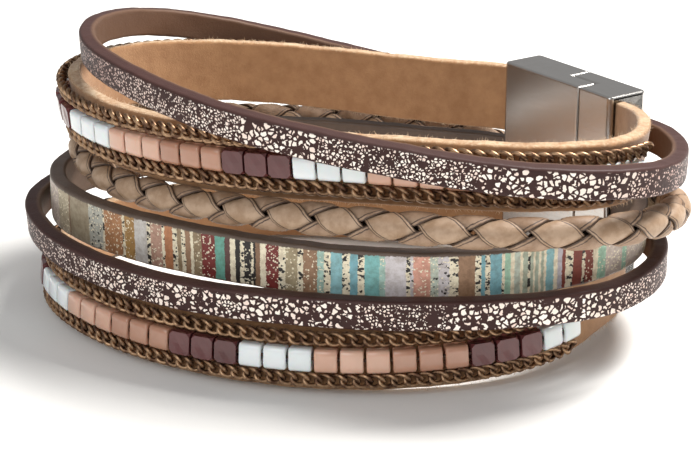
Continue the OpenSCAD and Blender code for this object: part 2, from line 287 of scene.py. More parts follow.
UPPER_FOIL = [
    (19.4, 27.1, 22.6, 0), (17.4, 28.5, 22.6, 0), (15.4, 29.8, 22.5, 0), (12.6, 31.6, 22.1, 0),
    (5, 33, 21.8, 0), (-6, 33.4, 23.2, 0), (-17, 32.4, 25.2, 0), (-27.5, 28.6, 27.8, 0),
    (-34.4, 20.8, 30.4, 0), (-36.5, 10.8, 32.2, 0), (-34.8, 0.8, 32.9, 2), (-29.4, -7.6, 32.9, 4),
    (-21.5, -14.4, 32.8, 4), (-10.5, -20.3, 31.8, 4), (1, -23, 30.8, 3), (13.5, -23.4, 29.8, 3),
    (26, -21.4, 28.2, 4), (35.6, -16.8, 27.3, 5), (41.2, -9.2, 26, 4), (41.5, -0.5, 24.8, 2),
    (39.6, 8, 23.8, 0), (36.4, 14.6, 23, 0), (33.4, 17.6, 22.7, 0), (31.2, 18.6, 22.6, 0),
    (29.6, 19.8, 22.6, 0), (28, 20.9, 22.6, 0),
]
STRIPED = [
    (18.2, 25.2, 13.8, 0), (16.2, 26.7, 13.8, 0), (14.4, 28.2, 13.8, 0), (11.2, 29, 13.9, 0),
    (3, 27.6, 14.1, 0), (-9, 27, 14.2, 0), (-20, 24.8, 14.2, 0), (-30.5, 19.2, 14.2, 0),
    (-37.5, 9.8, 14.1, 0), (-39, -0.4, 14, 0), (-34.5, -9, 14.1, 0), (-25.5, -14.8, 14.2, 0),
    (-14, -18.4, 14.4, 0), (-2, -20.2, 14.6, 0), (10, -19.6, 14.4, 0), (21, -16.2, 14.6, 2),
    (30, -10.2, 14.8, 2), (35.6, -2.6, 15, 2), (36.2, 5, 15, 0), (34.6, 10.8, 14.4, 0),
    (32.6, 14.2, 14, 0), (30.4, 16.7, 13.8, 0), (28.6, 17.9, 13.8, 0), (26.8, 19.2, 13.8, 0),
]
BRAID = [
    (19.4, 27.1, 14.8, 0), (17.4, 28.5, 14.8, 0), (15.4, 29.8, 14.8, 0), (12.6, 31.6, 14.9, 0),
    (5, 32.8, 15.1, 0), (-6, 32.2, 15.3, 0), (-17, 30.6, 15.6, 0), (-28, 26, 16, 0),
    (-36.6, 18.6, 17.8, 0), (-39.2, 8.7, 19.1, 0), (-35.5, -0.5, 18.7, 0), (-29, -8, 18.2, 0),
    (-20.6, -14, 18.8, 0), (-8, -18.4, 19.7, 0), (6, -20.4, 20.8, 0), (20, -20.2, 21, 0),
    (31.5, -17, 20.9, 0), (39.2, -10.2, 20.4, 0), (41.2, -1, 19, 0), (39.8, 8, 17.4, 0),
    (36.6, 14.8, 15.6, 0), (33.4, 17.7, 15, 0), (31.2, 18.6, 14.8, 0), (29.6, 19.8, 14.8, 0),
    (28, 20.9, 14.8, 0),
]
LOWER_FOIL = [
    (19.4, 27.1, 9.7, 0), (17.4, 28.5, 9.7, 0), (15.4, 29.8, 9.7, 0), (12.6, 31.2, 9.8, 0),
    (5, 31.8, 10, 0), (-6, 31.2, 10.3, 0), (-17, 29.2, 10.7, 0), (-28.5, 24, 11, 0),
    (-37.4, 15.2, 11.4, 0), (-41.6, 4, 11.6, 0), (-40, -7, 12, 4), (-32.5, -15.8, 11.3, 6),
    (-22.5, -20.6, 10.7, 5), (-10.5, -23.4, 10.4, 3), (2, -23.6, 10.8, 2), (14, -22, 11, 2),
    (26, -17.2, 11.1, 2), (35, -10.2, 10.8, 0), (38.8, -2.6, 10.9, 0), (38.9, 5.4, 10.9, 0),
    (36.6, 13, 10.2, 0), (33.4, 17.2, 9.8, 0), (31.2, 18.6, 9.7, 0), (29.6, 19.8, 9.7, 0),
    (28, 20.9, 9.7, 0),
]
LOWER_SUEDE = [
    (18.2, 25.2, 5.3, 0), (16.2, 26.7, 5.3, 0), (14.4, 28.2, 5.3, 0), (11.2, 29, 5.2, 0),
    (3, 27.6, 5, 0), (-9, 26.8, 4.7, 0), (-20, 24.2, 4.5, 0), (-30, 18.6, 4.5, -6),
    (-37.4, 9.8, 4.3, -3), (-38.6, -0.4, 4.1, -6), (-34.4, -9.7, 4.1, -6), (-24.9, -16.9, 4.1, -6),
    (-13.4, -21, 4.1, -6), (-1, -21.6, 4.1, -6), (10.5, -19.6, 4.3, -6), (20.2, -15, 4.8, -4),
    (27.4, -8.8, 5.2, -2), (30.8, -1.2, 6, 0), (32, 6, 6, 0), (32.5, 11.2, 5.7, 0),
    (32, 14.6, 5.4, 0), (30.4, 16.7, 5.3, 0), (28.6, 17.9, 5.3, 0), (26.8, 19.2, 5.3, 0),
]
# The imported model's origin, in the same numbers
ORIGIN = np.array([0.42, 4.94, 0.0])
SUEDES = (("upper", UPPER_SUEDE), ("lower", LOWER_SUEDE))

# %% Helpers for routes
def unit(v):
    return v / np.linalg.norm(v, axis=-1, keepdims=True)


def smooth(x):
    t = np.clip(x, 0, 1)
    return t * t * (3 - 2 * t)


def place(route, u):
    """Points and ways along, outwards and up, for an array of u that counts the route's points from 0."""
    c = np.array(route, float)
    c = np.vstack([2 * c[0] - c[1], c, 2 * c[-1] - c[-2]])
    i = np.minimum(np.floor(u).astype(int), len(route) - 2)
    t = u - i
    w = np.stack([(1 - t) ** 3, 3 * t ** 3 - 6 * t ** 2 + 4, -3 * t ** 3 + 3 * t ** 2 + 3 * t + 1,
                  t ** 3], 1) / 6
    d = np.stack([-(1 - t) ** 2, 3 * t ** 2 - 4 * t, -3 * t ** 2 + 2 * t + 1, t ** 2], 1) / 2
    near = c[i[:, None] + np.arange(4)]
    point = np.einsum("ij,ijk->ik", w, near)
    along = unit(np.einsum("ij,ijk->ik", d, near)[:, :3])
    side = unit(np.cross(along, [0, 0, 1]))
    rise = np.cross(side, along)
    a = np.radians(point[:, 3])[:, None]
    out = side * np.cos(a) - rise * np.sin(a)
    up = rise * np.cos(a) + side * np.sin(a)
    return point[:, :3] - ORIGIN, along, out, up


def lengths_along(line):
    return np.r_[0, np.cumsum(np.linalg.norm(np.diff(line, axis=0), axis=1))]


def ruler(route, out):
    """Lengths and their u along a line that lies off the route by out."""
    u = np.linspace(0, len(route) - 1, 6 * (len(route) - 1) + 1)
    at, _, outwards, _ = place(route, u)
    return lengths_along(at + outwards * out), u


def at_length(route, out, lengths):
    s, u = ruler(route, out)
    return np.interp(lengths, s, u)


def freed(route, u, first=2.0, over=2.0):
    """0 where a strand is pressed in the clasp's mouth, 1 along its free length."""
    return smooth((np.minimum(u, len(route) - 1 - u) - first) / over)


for title, route in (("upper suede", UPPER_SUEDE), ("upper foil", UPPER_FOIL), ("striped", STRIPED),
                     ("braid", BRAID), ("lower foil", LOWER_FOIL), ("lower suede", LOWER_SUEDE)):
    print(title, "strand:", round(float(ruler(route, 0)[0][-1]), 1), "mm long")

# %% Helpers for meshes
def new_piece(name, mesh):
    piece = bpy.data.objects.new(name, mesh)
    scene.collection.objects.link(piece)
    return piece


def closed_mesh(name, rings, faces):
    """A mesh through rings of points in millimetres, with its faces turned outwards."""
    mesh = bpy.data.meshes.new(name)
    mesh.from_pydata((rings.reshape(-1, 3) * MM).tolist(), [], faces)
    work = bmesh.new()
    work.from_mesh(mesh)
    bmesh.ops.recalc_face_normals(work, faces=work.faces)
    work.to_mesh(mesh)
    work.free()
    return mesh


def closed_loft(name, rings, spots):
    """A closed piece through rings of equal point count, with each point's place on its strand kept."""
    n, m = rings.shape[:2]
    i, j = np.meshgrid(np.arange(n - 1), np.arange(m), indexing="ij")
    a, b = i * m + j, i * m + (j + 1) % m
    faces = np.stack([a, b, b + m, a + m], -1).reshape(-1, 4).tolist()
    faces += [list(range(m))[::-1], list(range((n - 1) * m, n * m))]
    mesh = closed_mesh(name, rings, faces)
    kept = mesh.attributes.new("place", "FLOAT_VECTOR", "POINT")
    kept.data.foreach_set("vector", spots.reshape(-1).astype(np.float32))
    mesh.polygons.foreach_set("use_smooth", [True] * len(mesh.polygons))
    return new_piece(name, mesh)


def finish_piece(piece, slot, *nodes):
    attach(piece, "root")
    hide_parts(*nodes)
    print(f"{piece.name}: {len(piece.data.polygons)} faces")


def evaluated_mesh(piece):
    graph = bpy.context.evaluated_depsgraph_get()
    return bpy.data.meshes.new_from_object(piece.evaluated_get(graph), preserve_all_data_layers=True,
                                           depsgraph=graph)


# %% [markdown]
# ## Flat straps
# A strap is a strip cut from a hide: flat faces, corners just eased, and an edge that is never quite
# straight. A plain box bent along the route would look like plastic. Here a rounded section with many
# points is carried along the route, and its width and faces wander by less than a tenth of a millimetre,
# which is what light catches on real leather.

# %% Strap builder
# The wide ends narrow from this point of the route, over this many points
NARROW_FROM, NARROW_POINTS = 3.0, 5.0
EASED_CORNER = 0.35
EDGE_POINTS, FACE_POINTS = 6, 26
STRAP_STEP = 0.5
# The longest waves of the edges and faces, and how far the faces ripple
EDGE_WAVE, FACE_WAVE, RIPPLE = 9.0, 14.0, 0.05
WHOLE_TURN = 6.28


def wander(s, seed, longest, size):
    """A gentle unevenness along a length, the same each run."""
    rng = np.random.default_rng(seed)
    total = np.zeros_like(s)
    for k in range(5):
        total += np.sin(s * 2 * math.pi * (1.7 ** k) / longest + rng.uniform(0, WHOLE_TURN)) / (1.4 ** k)
    return total * size / 2.5


def strap_section(half_t, half_w):
    """Outward and upward offsets round a strap: straight faces with rounded corners."""
    corner = np.linspace(0, math.pi / 2, 5)
    arcs = []
    for sx, sy, turn in ((1, 1, 0), (-1, 1, 1), (-1, -1, 2), (1, -1, 3)):
        a = corner + turn * math.pi / 2
        arcs.append(np.stack([sx * (half_t - EASED_CORNER) + EASED_CORNER * np.cos(a),
                              sy * (half_w - EASED_CORNER) + EASED_CORNER * np.sin(a)], 1))
    ring = []
    for k, arc in enumerate(arcs):
        start, stop = arc[-1], arcs[(k + 1) % 4][0]
        between = np.linspace(0, 1, (FACE_POINTS if k % 2 else EDGE_POINTS) + 2)[1:-1, None]
        ring += [arc, start + (stop - start) * between]
    return np.vstack(ring)


def strap(name, route, width, thickness, pared, seed, end_width=None, rough_edge=0.08):
    """A strap, pared in the clasp and, where end_width is given, wider there than along its free length."""
    length = ruler(route, 0)[0][-1]
    s = np.linspace(0, length, int(length / STRAP_STEP))
    u = at_length(route, 0, s)
    at, _, out, up = place(route, u)
    free = freed(route, u)
    wider = (end_width or width) / width
    widen = wider + (1 - wider) * freed(route, u, NARROW_FROM, NARROW_POINTS)
    section = strap_section(thickness / 2, width / 2)
    share = (pared + (thickness - pared) * free) / thickness
    offs = np.repeat(section[None, :, 0], len(s), 0) * share[:, None]
    ups = np.repeat(section[None, :, 1], len(s), 0)
    top = wander(s, seed, EDGE_WAVE, rough_edge) * free
    low = wander(s, seed + 1, EDGE_WAVE, rough_edge) * free
    ups += np.where(ups > 0, 1, 0) * top[:, None] * np.abs(ups) / (width / 2)
    ups += np.where(ups < 0, 1, 0) * low[:, None] * np.abs(ups) / (width / 2)
    ripple = wander(s, seed + 2, FACE_WAVE, RIPPLE)[:, None] * np.cos(ups / width * 5)
    offs += ripple * free[:, None]
    high = up[:, None] * (ups * widen[:, None])[..., None]
    spots = np.stack([np.repeat(s[:, None], len(section), 1), offs, ups], -1)
    return closed_loft(name, at[:, None] + out[:, None] * offs[..., None] + high, spots)


# %% [markdown]
# ## Suede
# The two wide straps are split leather with a short nap: matt, mottled tan, with pale frayed edges. The nap
# comes from a very fine bump and a little sheen. The edge colour follows each point's own height on the
# strap, so it stays on the edge all the way round.

# %% Suede straps
SUEDE_W, SUEDE_END_W, SUEDE_T = 8.0, 8.8, 1.6
suede, tree, shader = new_material("suede_nap", Roughness=0.95, Sheen_Weight=0.25, Sheen_Roughness=0.5)
spot = use(tree, strand_place)
grain = use(tree, fine_grain, {"Size": 0.3})
tone = mix(tree, ease(tree, grain["Tone"], 0.2, 0.8), linear("986e4a"), linear("ad835c"))
wisps = noise(tree, spot["Place"], 1.8, 5.0, 0.7)
past_edge = maths(tree, "SUBTRACT", maths(tree, "ABSOLUTE", spot["Upwards"]), SUEDE_W / 2 + 0.5)
frayed = ease(tree, scaled(tree, wisps, 0.9, past_edge), -0.25, 0.2)
link(tree, shader, Base_Color=mix(tree, frayed, tone, linear("cdb594")))
bump(tree, shader, grain["Height"], 0.06)

for (level, route), seed in zip(SUEDES, (11, 21)):
    piece = strap("suede_" + level, route, SUEDE_W, SUEDE_T, SUEDE_T, seed, SUEDE_END_W)
    piece.data.materials.append(suede)
    finish_piece(piece, "suede", "suede_strap_" + level)

# %% [markdown]
# ## Foil-printed straps
# These two are dark brown straps with a metallic film pressed on. The film has cracked into small cream and
# pink flakes that let the leather show between them. Their tops are a lighter, plain mauve brown, and a
# thin line along the bottom is bare too. The flakes are Voronoi cells in the strap's own millimetres. Their
# size and how many are left change along each strap, so a short table says that, and a colour ramp blends
# from row to row.

# %% Flake tables
FLAKES_TO = 200.0
# Columns: length along the strap, share of large flakes, how worn the film is, how dull it is
FLAKES = {
    "upper": [(70, 0.3, 0.4, 0.1), (84, 0.0, 0.8, 1.0), (94, 0.0, 0.6, 0.9), (104, 0.1, 0.35, 0.4),
              (112, 0.0, 0.35, 0.1), (119, 0.3, 0.2, 0.0), (122, 1.0, 0.0, 0.0), (128, 1.0, 0.0, 0.0),
              (130, 0.1, 0.3, 0.0), (145, 0.1, 0.3, 0.0), (148, 0.8, 0.2, 0.0), (160, 0.9, 0.1, 0.1),
              (166, 0.3, 0.5, 0.6), (172, 0.0, 0.7, 0.9), (190, 0.3, 0.4, 0.1)],
    "lower": [(80, 0.3, 0.4, 0.1), (92, 0.1, 0.7, 0.7), (101, 0.3, 0.35, 0.2), (108, 0.5, 0.2, 0.0),
              (128, 0.6, 0.2, 0.0), (138, 0.6, 0.25, 0.0), (141, 0.4, 0.6, 0.0), (148, 0.2, 0.7, 0.1),
              (151, 0.6, 0.3, 0.0), (155, 1.0, 0.0, 0.0), (166, 0.9, 0.1, 0.0), (172, 0.3, 0.35, 0.3),
              (178, 0.0, 0.7, 0.7), (192, 0.3, 0.4, 0.1)],
}


def flake_ramp(tree, rows, along):
    """The three shares of a flake table, blended along the strap."""
    stops = [(length / FLAKES_TO, (*shares, 1.0)) for length, *shares in rows]
    shares = ramp(tree, maths(tree, "DIVIDE", along, FLAKES_TO), stops)["Color"]
    return add(tree, "ShaderNodeSeparateColor", {0: shares}).outputs


print({level: len(rows) for level, rows in FLAKES.items()}, "rows of flakes")

# %% Foil straps
FOIL_W, FOIL_T = 3.6, 2.0
FINE_FLAKE, COARSE_FLAKE = 0.4, 0.72


def foil_material(name, rows, moved_by):
    """A foil print. Moved_by takes the pattern from another stretch, so that no two straps match."""
    material, tree, shader = new_material(name, Specular_IOR_Level=0.25)
    spot = use(tree, strand_place)
    grain = use(tree, fine_grain, {"Size": 0.35})
    moved = vectors(tree, "ADD", spot["Place"], (moved_by, 0, 0))
    large, wear, dull = flake_ramp(tree, rows, spot["Along"])
    patches = ease(tree, noise(tree, moved, 0.45, 4.0, 0.65), 0.4, 0.75)
    worn = scaled(tree, patches, 0.45, wear)
    frayed = scaled(tree, noise(tree, moved, 3.5, 3.0, 0.7), 0.28, -0.015)
    shape = {"Place": moved, "Share": scaled(tree, worn, -0.35, 1.0), "Gap": scaled(tree, worn, 0.12, frayed)}
    fine = use(tree, flecks, {**shape, "Size": FINE_FLAKE})
    coarse = use(tree, flecks, {**shape, "Size": COARSE_FLAKE})
    big = maths(tree, "GREATER_THAN", scaled(tree, noise(tree, moved, 0.3, 3.0), 0.6, large), 0.8)
    mask = mix_values(tree, big, fine["Mask"], coarse["Mask"])
    outer = ease(tree, spot["Outwards"], 0.6, 0.8)
    below_top = ease_off(tree, spot["Upwards"], 1.4, 1.6)
    above_low = ease(tree, spot["Upwards"], -1.75, -1.6)
    shown = times(tree, mask, times(tree, outer, times(tree, below_top, above_low)))
    bare = mix(tree, grain["Tone"], linear("40221e"), linear("281412"))
    rest = mix(tree, grain["Tone"], linear("4c322e"), linear("3a2421"))
    inner = ease(tree, times(tree, spot["Outwards"], -1.0), 0.3, 0.8)
    rest = mix(tree, inner, rest, linear("644a3a"))
    leather = mix(tree, times(tree, outer, below_top), rest, bare)
    film = mix(tree, coarse["Tone"], linear("fbf2e8"), linear("e6d0c4"))
    film = mix(tree, times(tree, dull, 0.8), film, linear("a8766a"))
    link(tree, shader, Base_Color=mix(tree, shown, leather, film), Roughness=scaled(tree, shown, -0.2, 0.5),
         Metallic=times(tree, shown, 0.3))
    bump(tree, shader, scaled(tree, shown, 0.8, grain["Height"]), 0.035)
    return material


for level, route, seed, moved_by in (("upper", UPPER_FOIL, 31, 0.0), ("lower", LOWER_FOIL, 41, 57.0)):
    piece = strap("foil_" + level, route, FOIL_W, FOIL_T, FOIL_T, seed, rough_edge=0.05)
    piece.data.materials.append(foil_material("foil_print_" + level, FLAKES[level], moved_by))
    finish_piece(piece, "foil_leather", "foil_strap_" + level)

# %% [markdown]
# ## Striped strap
# The middle strap is printed across with bands of many colours, with cream and black lines between them.
# The bands are a chart, like a knitting pattern: a colour's name, a width in millimetres and how the band
# is filled. A colour ramp holds up to 32 bands and keeps the filling in its alpha. The strap's own length
# runs through the ramps, and the chart starts again where it ends.

# %% The band chart
PAINTS = {
    "beige": "bdb096", "brown": "8d6c52", "taupe": "a4977f", "pale grey": "b8b8ad", "orange tan": "b07d54",
    "ochre": "ad864e", "silver grey": "d0ccc7", "pink tan": "bb9582", "orange": "bd8058",
    "olive tan": "9a8668", "dark red": "7b2d2a", "teal green": "6ba898", "plum": "624440", "black": "26211f",
    "cream": "efe5ca", "beige gold": "a99a7b", "brown tan": "9a785c", "pale mint": "a6c6bb",
    "sky blue": "8cbcc2", "blue": "7db0bb", "teal": "7fbab8", "lilac grey": "d2ccce", "salmon": "d8a08c",
    "mint grey": "bec8ba", "grey green": "adb7a4", "mint": "a4ccb4", "lilac": "c2bcc4", "rust red": "853b2c",
    "pale pink": "cfc0b6",
}
FILLINGS = {"plain": 0.0, "dotted": 0.3, "flecked": 0.6, "broken": 1.0}
# Columns: paint, width, filling
CHART = [
    ("beige", 3.0, "dotted"), ("brown", 0.3, "plain"), ("taupe", 4.1, "plain"), ("pale grey", 2.6, "flecked"),
    ("cream", 0.4, "broken"), ("orange tan", 3.0, "dotted"), ("cream", 0.5, "broken"),
    ("ochre", 1.5, "dotted"), ("silver grey", 2.0, "plain"), ("cream", 0.6, "broken"),
    ("pink tan", 1.6, "dotted"), ("cream", 0.4, "broken"), ("orange", 1.1, "plain"), ("cream", 0.8, "broken"),
    ("olive tan", 0.5, "plain"), ("cream", 0.6, "broken"), ("brown tan", 0.7, "plain"),
    ("cream", 0.4, "plain"), ("olive tan", 1.2, "dotted"), ("dark red", 1.8, "dotted"),
    ("teal green", 1.2, "plain"), ("plum", 0.7, "plain"), ("cream", 0.7, "plain"), ("black", 0.6, "plain"),
    ("cream", 0.5, "broken"), ("black", 0.9, "dotted"), ("cream", 0.3, "broken"), ("black", 0.3, "dotted"),
    ("brown", 0.5, "plain"), ("cream", 0.7, "plain"), ("dark red", 1.6, "dotted"), ("cream", 0.9, "broken"),
    ("beige gold", 1.4, "dotted"), ("cream", 0.6, "broken"), ("brown tan", 1.7, "dotted"),
    ("pale mint", 0.8, "dotted"), ("cream", 0.7, "broken"), ("sky blue", 1.3, "plain"),
    ("cream", 0.9, "broken"), ("blue", 0.9, "plain"), ("cream", 0.8, "broken"), ("teal", 1.6, "plain"),
    ("pale mint", 0.7, "dotted"), ("lilac grey", 2.3, "plain"), ("cream", 0.4, "broken"),
    ("lilac grey", 0.4, "flecked"), ("salmon", 1.8, "dotted"), ("mint grey", 0.9, "flecked"),
    ("lilac grey", 1.2, "flecked"), ("cream", 1.0, "broken"), ("brown tan", 1.9, "plain"),
    ("cream", 0.6, "broken"), ("blue", 0.5, "plain"), ("cream", 0.5, "broken"), ("blue", 1.3, "plain"),
    ("cream", 0.4, "broken"), ("mint", 0.6, "plain"), ("cream", 0.5, "plain"), ("mint grey", 0.6, "plain"),
    ("cream", 0.4, "plain"), ("grey green", 0.5, "plain"), ("cream", 0.4, "broken"),
    ("grey green", 0.3, "plain"), ("cream", 0.25, "plain"), ("grey green", 0.4, "plain"),
    ("cream", 0.25, "plain"), ("grey green", 0.35, "plain"), ("cream", 0.3, "plain"),
    ("sky blue", 0.9, "plain"), ("cream", 0.45, "plain"), ("lilac", 0.6, "plain"), ("rust red", 0.4, "plain"),
    ("cream", 1.0, "broken"), ("rust red", 1.2, "plain"), ("cream", 0.4, "broken"),
    ("rust red", 1.1, "dotted"), ("cream", 0.7, "plain"), ("mint", 1.2, "dotted"),
    ("pale pink", 2.8, "dotted"), ("mint", 0.8, "dotted"), ("pale pink", 5.0, "dotted"),
]
RAMP_BANDS = 32
CHART_START = 83.0
chart_length = sum(row[1] for row in CHART)
print(len(CHART), "bands repeat every", round(chart_length, 1), "mm")

# %% Band ramps
def band_ramp(tree, rows, place_in_chart, starts_at):
    """A ramp's hard-edged bands and their fillings, read at a length in the chart."""
    total = sum(row[1] for row in rows)
    share = maths(tree, "DIVIDE", maths(tree, "SUBTRACT", place_in_chart, starts_at), total)
    stops, done = [], 0.0
    for paint, width, filling in rows:
        stops.append((done / total, linear(PAINTS[paint])[:3] + (FILLINGS[filling],)))
        done += width
    outputs = ramp(tree, share, stops, "CONSTANT")
    return outputs["Color"], outputs["Alpha"]


bands, given, end = new_group("printed_bands", [
    ("Along", "IN", "Float", 0.0), ("Paint", "OUT", "Color"), ("Filling", "OUT", "Float")])
from_start = maths(bands, "SUBTRACT", given["Along"], CHART_START - chart_length)
in_chart = maths(bands, "MODULO", from_start, chart_length)
paint, filling = band_ramp(bands, CHART[:RAMP_BANDS], in_chart, 0.0)
for row in range(RAMP_BANDS, len(CHART), RAMP_BANDS):
    passed = sum(width for _, width, _ in CHART[:row])
    past = maths(bands, "GREATER_THAN", in_chart, passed)
    next_paint, next_filling = band_ramp(bands, CHART[row:row + RAMP_BANDS], in_chart, passed)
    paint = mix(bands, past, paint, next_paint)
    filling = mix_values(bands, past, filling, next_filling)
link(bands, end, Paint=paint, Filling=filling)
print(bands.name, "has", math.ceil(len(CHART) / RAMP_BANDS), "ramps")

# %% Striped print
printed, tree, shader = new_material("striped_print", Roughness=0.5)
spot = use(tree, strand_place)
grain = use(tree, fine_grain, {"Size": 0.35})
ragged = maths(tree, "SUBTRACT", noise(tree, spot["Place"], 2.4, 4.0, 0.75), 0.5)
here = use(tree, bands, {"Along": scaled(tree, ragged, 0.5, spot["Along"])})
faded = mix(tree, 1.0, here["Paint"], linear("d8d2cc"), "MULTIPLY")
paint = mix(tree, ease(tree, noise(tree, spot["Place"], 1.3, 4.0, 0.7), 0.35, 0.7), here["Paint"], faded)
print("bands with ragged, faded paint")

# %% Dots, flecks and dashes in the bands
dots = use(tree, flecks, {"Place": spot["Place"], "Size": 0.23, "Share": 0.22, "Gap": 0.1})
dotted = times(tree, dots["Mask"], ease(tree, here["Filling"], 0.1, 0.2))
paint = mix(tree, dotted, paint, linear("f0e6cc"))
moved = vectors(tree, "ADD", spot["Place"], (31.0, 5.0, 9.0))
black = use(tree, flecks, {"Place": moved, "Size": 0.32, "Share": 0.16, "Gap": 0.08})
flecked = times(tree, black["Mask"], ease(tree, here["Filling"], 0.45, 0.55))
dashes = vectors(tree, "MULTIPLY", spot["Place"], (0.6, 1.0, 1.0))
gaps = ease(tree, noise(tree, dashes, 1.7, 2.0, 0.6), 0.57, 0.6)
broken = times(tree, gaps, ease(tree, here["Filling"], 0.8, 0.9))
paint = mix(tree, maths(tree, "MAXIMUM", flecked, broken), paint, linear("26211f"))
print("fillings:", ", ".join(FILLINGS))

# %% Striped strap
STRIPED_W, STRIPED_T, PARED_T = 5.9, 2.0, 1.6
above_low = ease(tree, scaled(tree, ragged, 0.4, spot["Upwards"]), -2.8, -2.65)
below_top = ease_off(tree, scaled(tree, ragged, 0.5, spot["Upwards"]), 2.45, 2.6)
face = times(tree, ease(tree, spot["Outwards"], 0.6, 0.8), times(tree, above_low, below_top))
leather = mix(tree, grain["Tone"], linear("68564a"), linear("4c3e34"))
link(tree, shader, Base_Color=mix(tree, face, leather, paint))
bump(tree, shader, scaled(tree, times(tree, face, dotted), 0.8, grain["Height"]), 0.035)

piece = strap("striped", STRIPED, STRIPED_W, STRIPED_T, PARED_T, 51, rough_edge=0.06)
piece.data.materials.append(printed)
finish_piece(piece, "striped_leather", "striped_strap")

# %% [markdown]
# ## Braided cord
# Four flat leather strips are plaited round: two turn one way and two the other, each passing over one and
# under the next. Seen from the side the strip on top shows as a leaf between two dark raw cuts. A twist of
# tubes would look like rope. Here each strip is a wide, thin, crowned band on a cylinder, and its height
# above the cord's middle follows which strip lies across it there, so that the strips never cut each other.

# %% Braid builder
# The length of a full turn, a strip's half width as an angle, and how far round from outwards its leaves lie
BRAID_TURN, HALF_ANGLE, LEAF_TURN = 12.0, math.radians(76), math.radians(20)
# The strips' middle radius, how far they lift over each other, their crown and their thickness
MIDDLE_R, LIFT, CROWN, STRIP_T = 1.3, 0.32, 0.12, 0.36
# How much slower a strip turns on top, how steeply it rises and falls, and how much thinner its edges are
SLOW, STEEP, THIN_EDGE = 0.2, 1.75, 0.35
# The cord's size in the clasp, as a share of its size outside
PRESSED = 0.48
BRAID_STEP = 0.4
ACROSS = 13


def braid_strip(name, way, number):
    """A strip that lies on top at the leaf column, or a quarter turn from it, and turns slower there."""
    length = ruler(BRAID, 0)[0][-1]
    s = np.linspace(0, length, int(length / BRAID_STEP))
    u = at_length(BRAID, 0, s)
    at, _, out, up = place(BRAID, u)
    size = PRESSED + (1 - PRESSED) * freed(BRAID, u)
    even = 2 * math.pi * s / BRAID_TURN
    base = LEAF_TURN + math.pi / 2 + number * math.pi
    own = base + way * (even - way * SLOW * np.sin(2 * even))
    other = LEAF_TURN + math.pi / 2 - way * (even + way * SLOW * np.sin(2 * even))
    b = np.linspace(-1, 1, ACROSS)
    angle = own[:, None] + HALF_ANGLE * b
    over = np.cos(angle - other[:, None])
    sign = way * (1 if number == 0 else -1)
    height = sign * np.clip(STEEP * over, -1, 1)
    middle = MIDDLE_R + LIFT * height + CROWN * (1 - b ** 2)
    thin = STRIP_T * (1 - THIN_EDGE * b ** 8)
    r = np.concatenate([middle + thin / 2, (middle - thin / 2)[:, ::-1]], 1) * size[:, None]
    angles = np.concatenate([angle, angle[:, ::-1]], 1)
    offs, ups = r * np.cos(angles), r * np.sin(angles)
    rings = at[:, None] + out[:, None] * offs[..., None] + up[:, None] * ups[..., None]
    sides = np.concatenate([b, b[::-1]])
    face = np.concatenate([np.ones(ACROSS), -np.ones(ACROSS)])
    spots = np.stack(np.broadcast_arrays(s[:, None], sides[None], face[None]), -1)
    return closed_loft(name, rings, spots)


def braid_leather(name, body, shade):
    """Leather with dark raw cuts and a dark line beside each, across the strip from -1 to 1."""
    material, tree, shader = new_material(name, Roughness=0.5)
    spot = use(tree, strand_place)
    grain = use(tree, fine_grain, {"Size": 0.25})
    tone = mix(tree, ease(tree, grain["Tone"], 0.35, 0.65), linear(shade), linear(body))
    uneven = scaled(tree, noise(tree, spot["Place"], 3.0, 3.0), 0.1, -0.05)
    side = maths(tree, "ADD", maths(tree, "ABSOLUTE", spot["Outwards"]), uneven)
    cut = ease(tree, side, 0.9, 0.96)
    line = maths(tree, "COMPARE", side, 0.78, 0.035)
    dark = times(tree, maths(tree, "MAXIMUM", cut, line), 0.85)
    link(tree, shader, Base_Color=mix(tree, dark, tone, linear("3a2a22")))
    bump(tree, shader, maths(tree, "SUBTRACT", grain["Height"], times(tree, line, 0.8)), 0.05)
    return material


# %% Braid
# Lit and shaded copies of one leather, differing only in lightness: the strips that turn one way get the
# darker copy, which is painted shade on their row of leaves.
leathers = {-1: braid_leather("braid_leather_unshaded", "b0957c", "9a7d62"),
            1: braid_leather("braid_leather_painted_shade", "a48870", "8c6f56")}
for k, (way, number) in enumerate(((1, 0), (1, 1), (-1, 0), (-1, 1)), 1):
    piece = braid_strip(f"braid_strip_{k}", way, number)
    piece.data.materials.append(leathers[way])
    finish_piece(piece, "braid_leather", f"braid_strand_{k}")

# %% [markdown]
# ## What repeats: beads, links and fibres
# Beads and chain links are copies of one small shape at even steps along a strap, which is what Geometry
# Nodes is for. Python marks the places with loose points that carry their ways along and outwards. A node
# tree puts a copy on each, turned to those ways, and makes the copies real so that the export keeps them.

# %% Places for copies
def marked_points(name, at, along, out, **extra):
    """Loose points with their ways, and any other numbers that a tree reads by name."""
    mesh = bpy.data.meshes.new(name)
    mesh.from_pydata((at * MM).tolist(), [], [])
    for label, values in dict(way_along=along, way_out=out).items():
        mesh.attributes.new(label, "FLOAT_VECTOR", "POINT").data.foreach_set(
            "vector", np.ascontiguousarray(values, np.float32).reshape(-1))
    for label, values in extra.items():
        mesh.attributes.new(label, "FLOAT", "POINT").data.foreach_set("value", np.asarray(values, np.float32))
    return new_piece(name, mesh)


# %% Helpers for geometry trees
def new_tree(name, **sockets):
    """A geometry tree that takes and gives Geometry. Each other input is its name and kind."""
    tree = bpy.data.node_groups.new(name, "GeometryNodeTree")
    ids = {}
    for way in ("OUTPUT", "INPUT"):
        tree.interface.new_socket("Geometry", in_out=way, socket_type="NodeSocketGeometry")
    for label, kind in sockets.items():
        socket = tree.interface.new_socket(label, in_out="INPUT", socket_type="NodeSocket" + kind)
        ids[label] = socket.identifier
    return tree, tree.nodes.new("NodeGroupInput").outputs, tree.nodes.new("NodeGroupOutput"), ids


def read(tree, name, kind):
    return put(tree, "GeometryNodeInputNamedAttribute", {"Name": name}, data_type=kind)


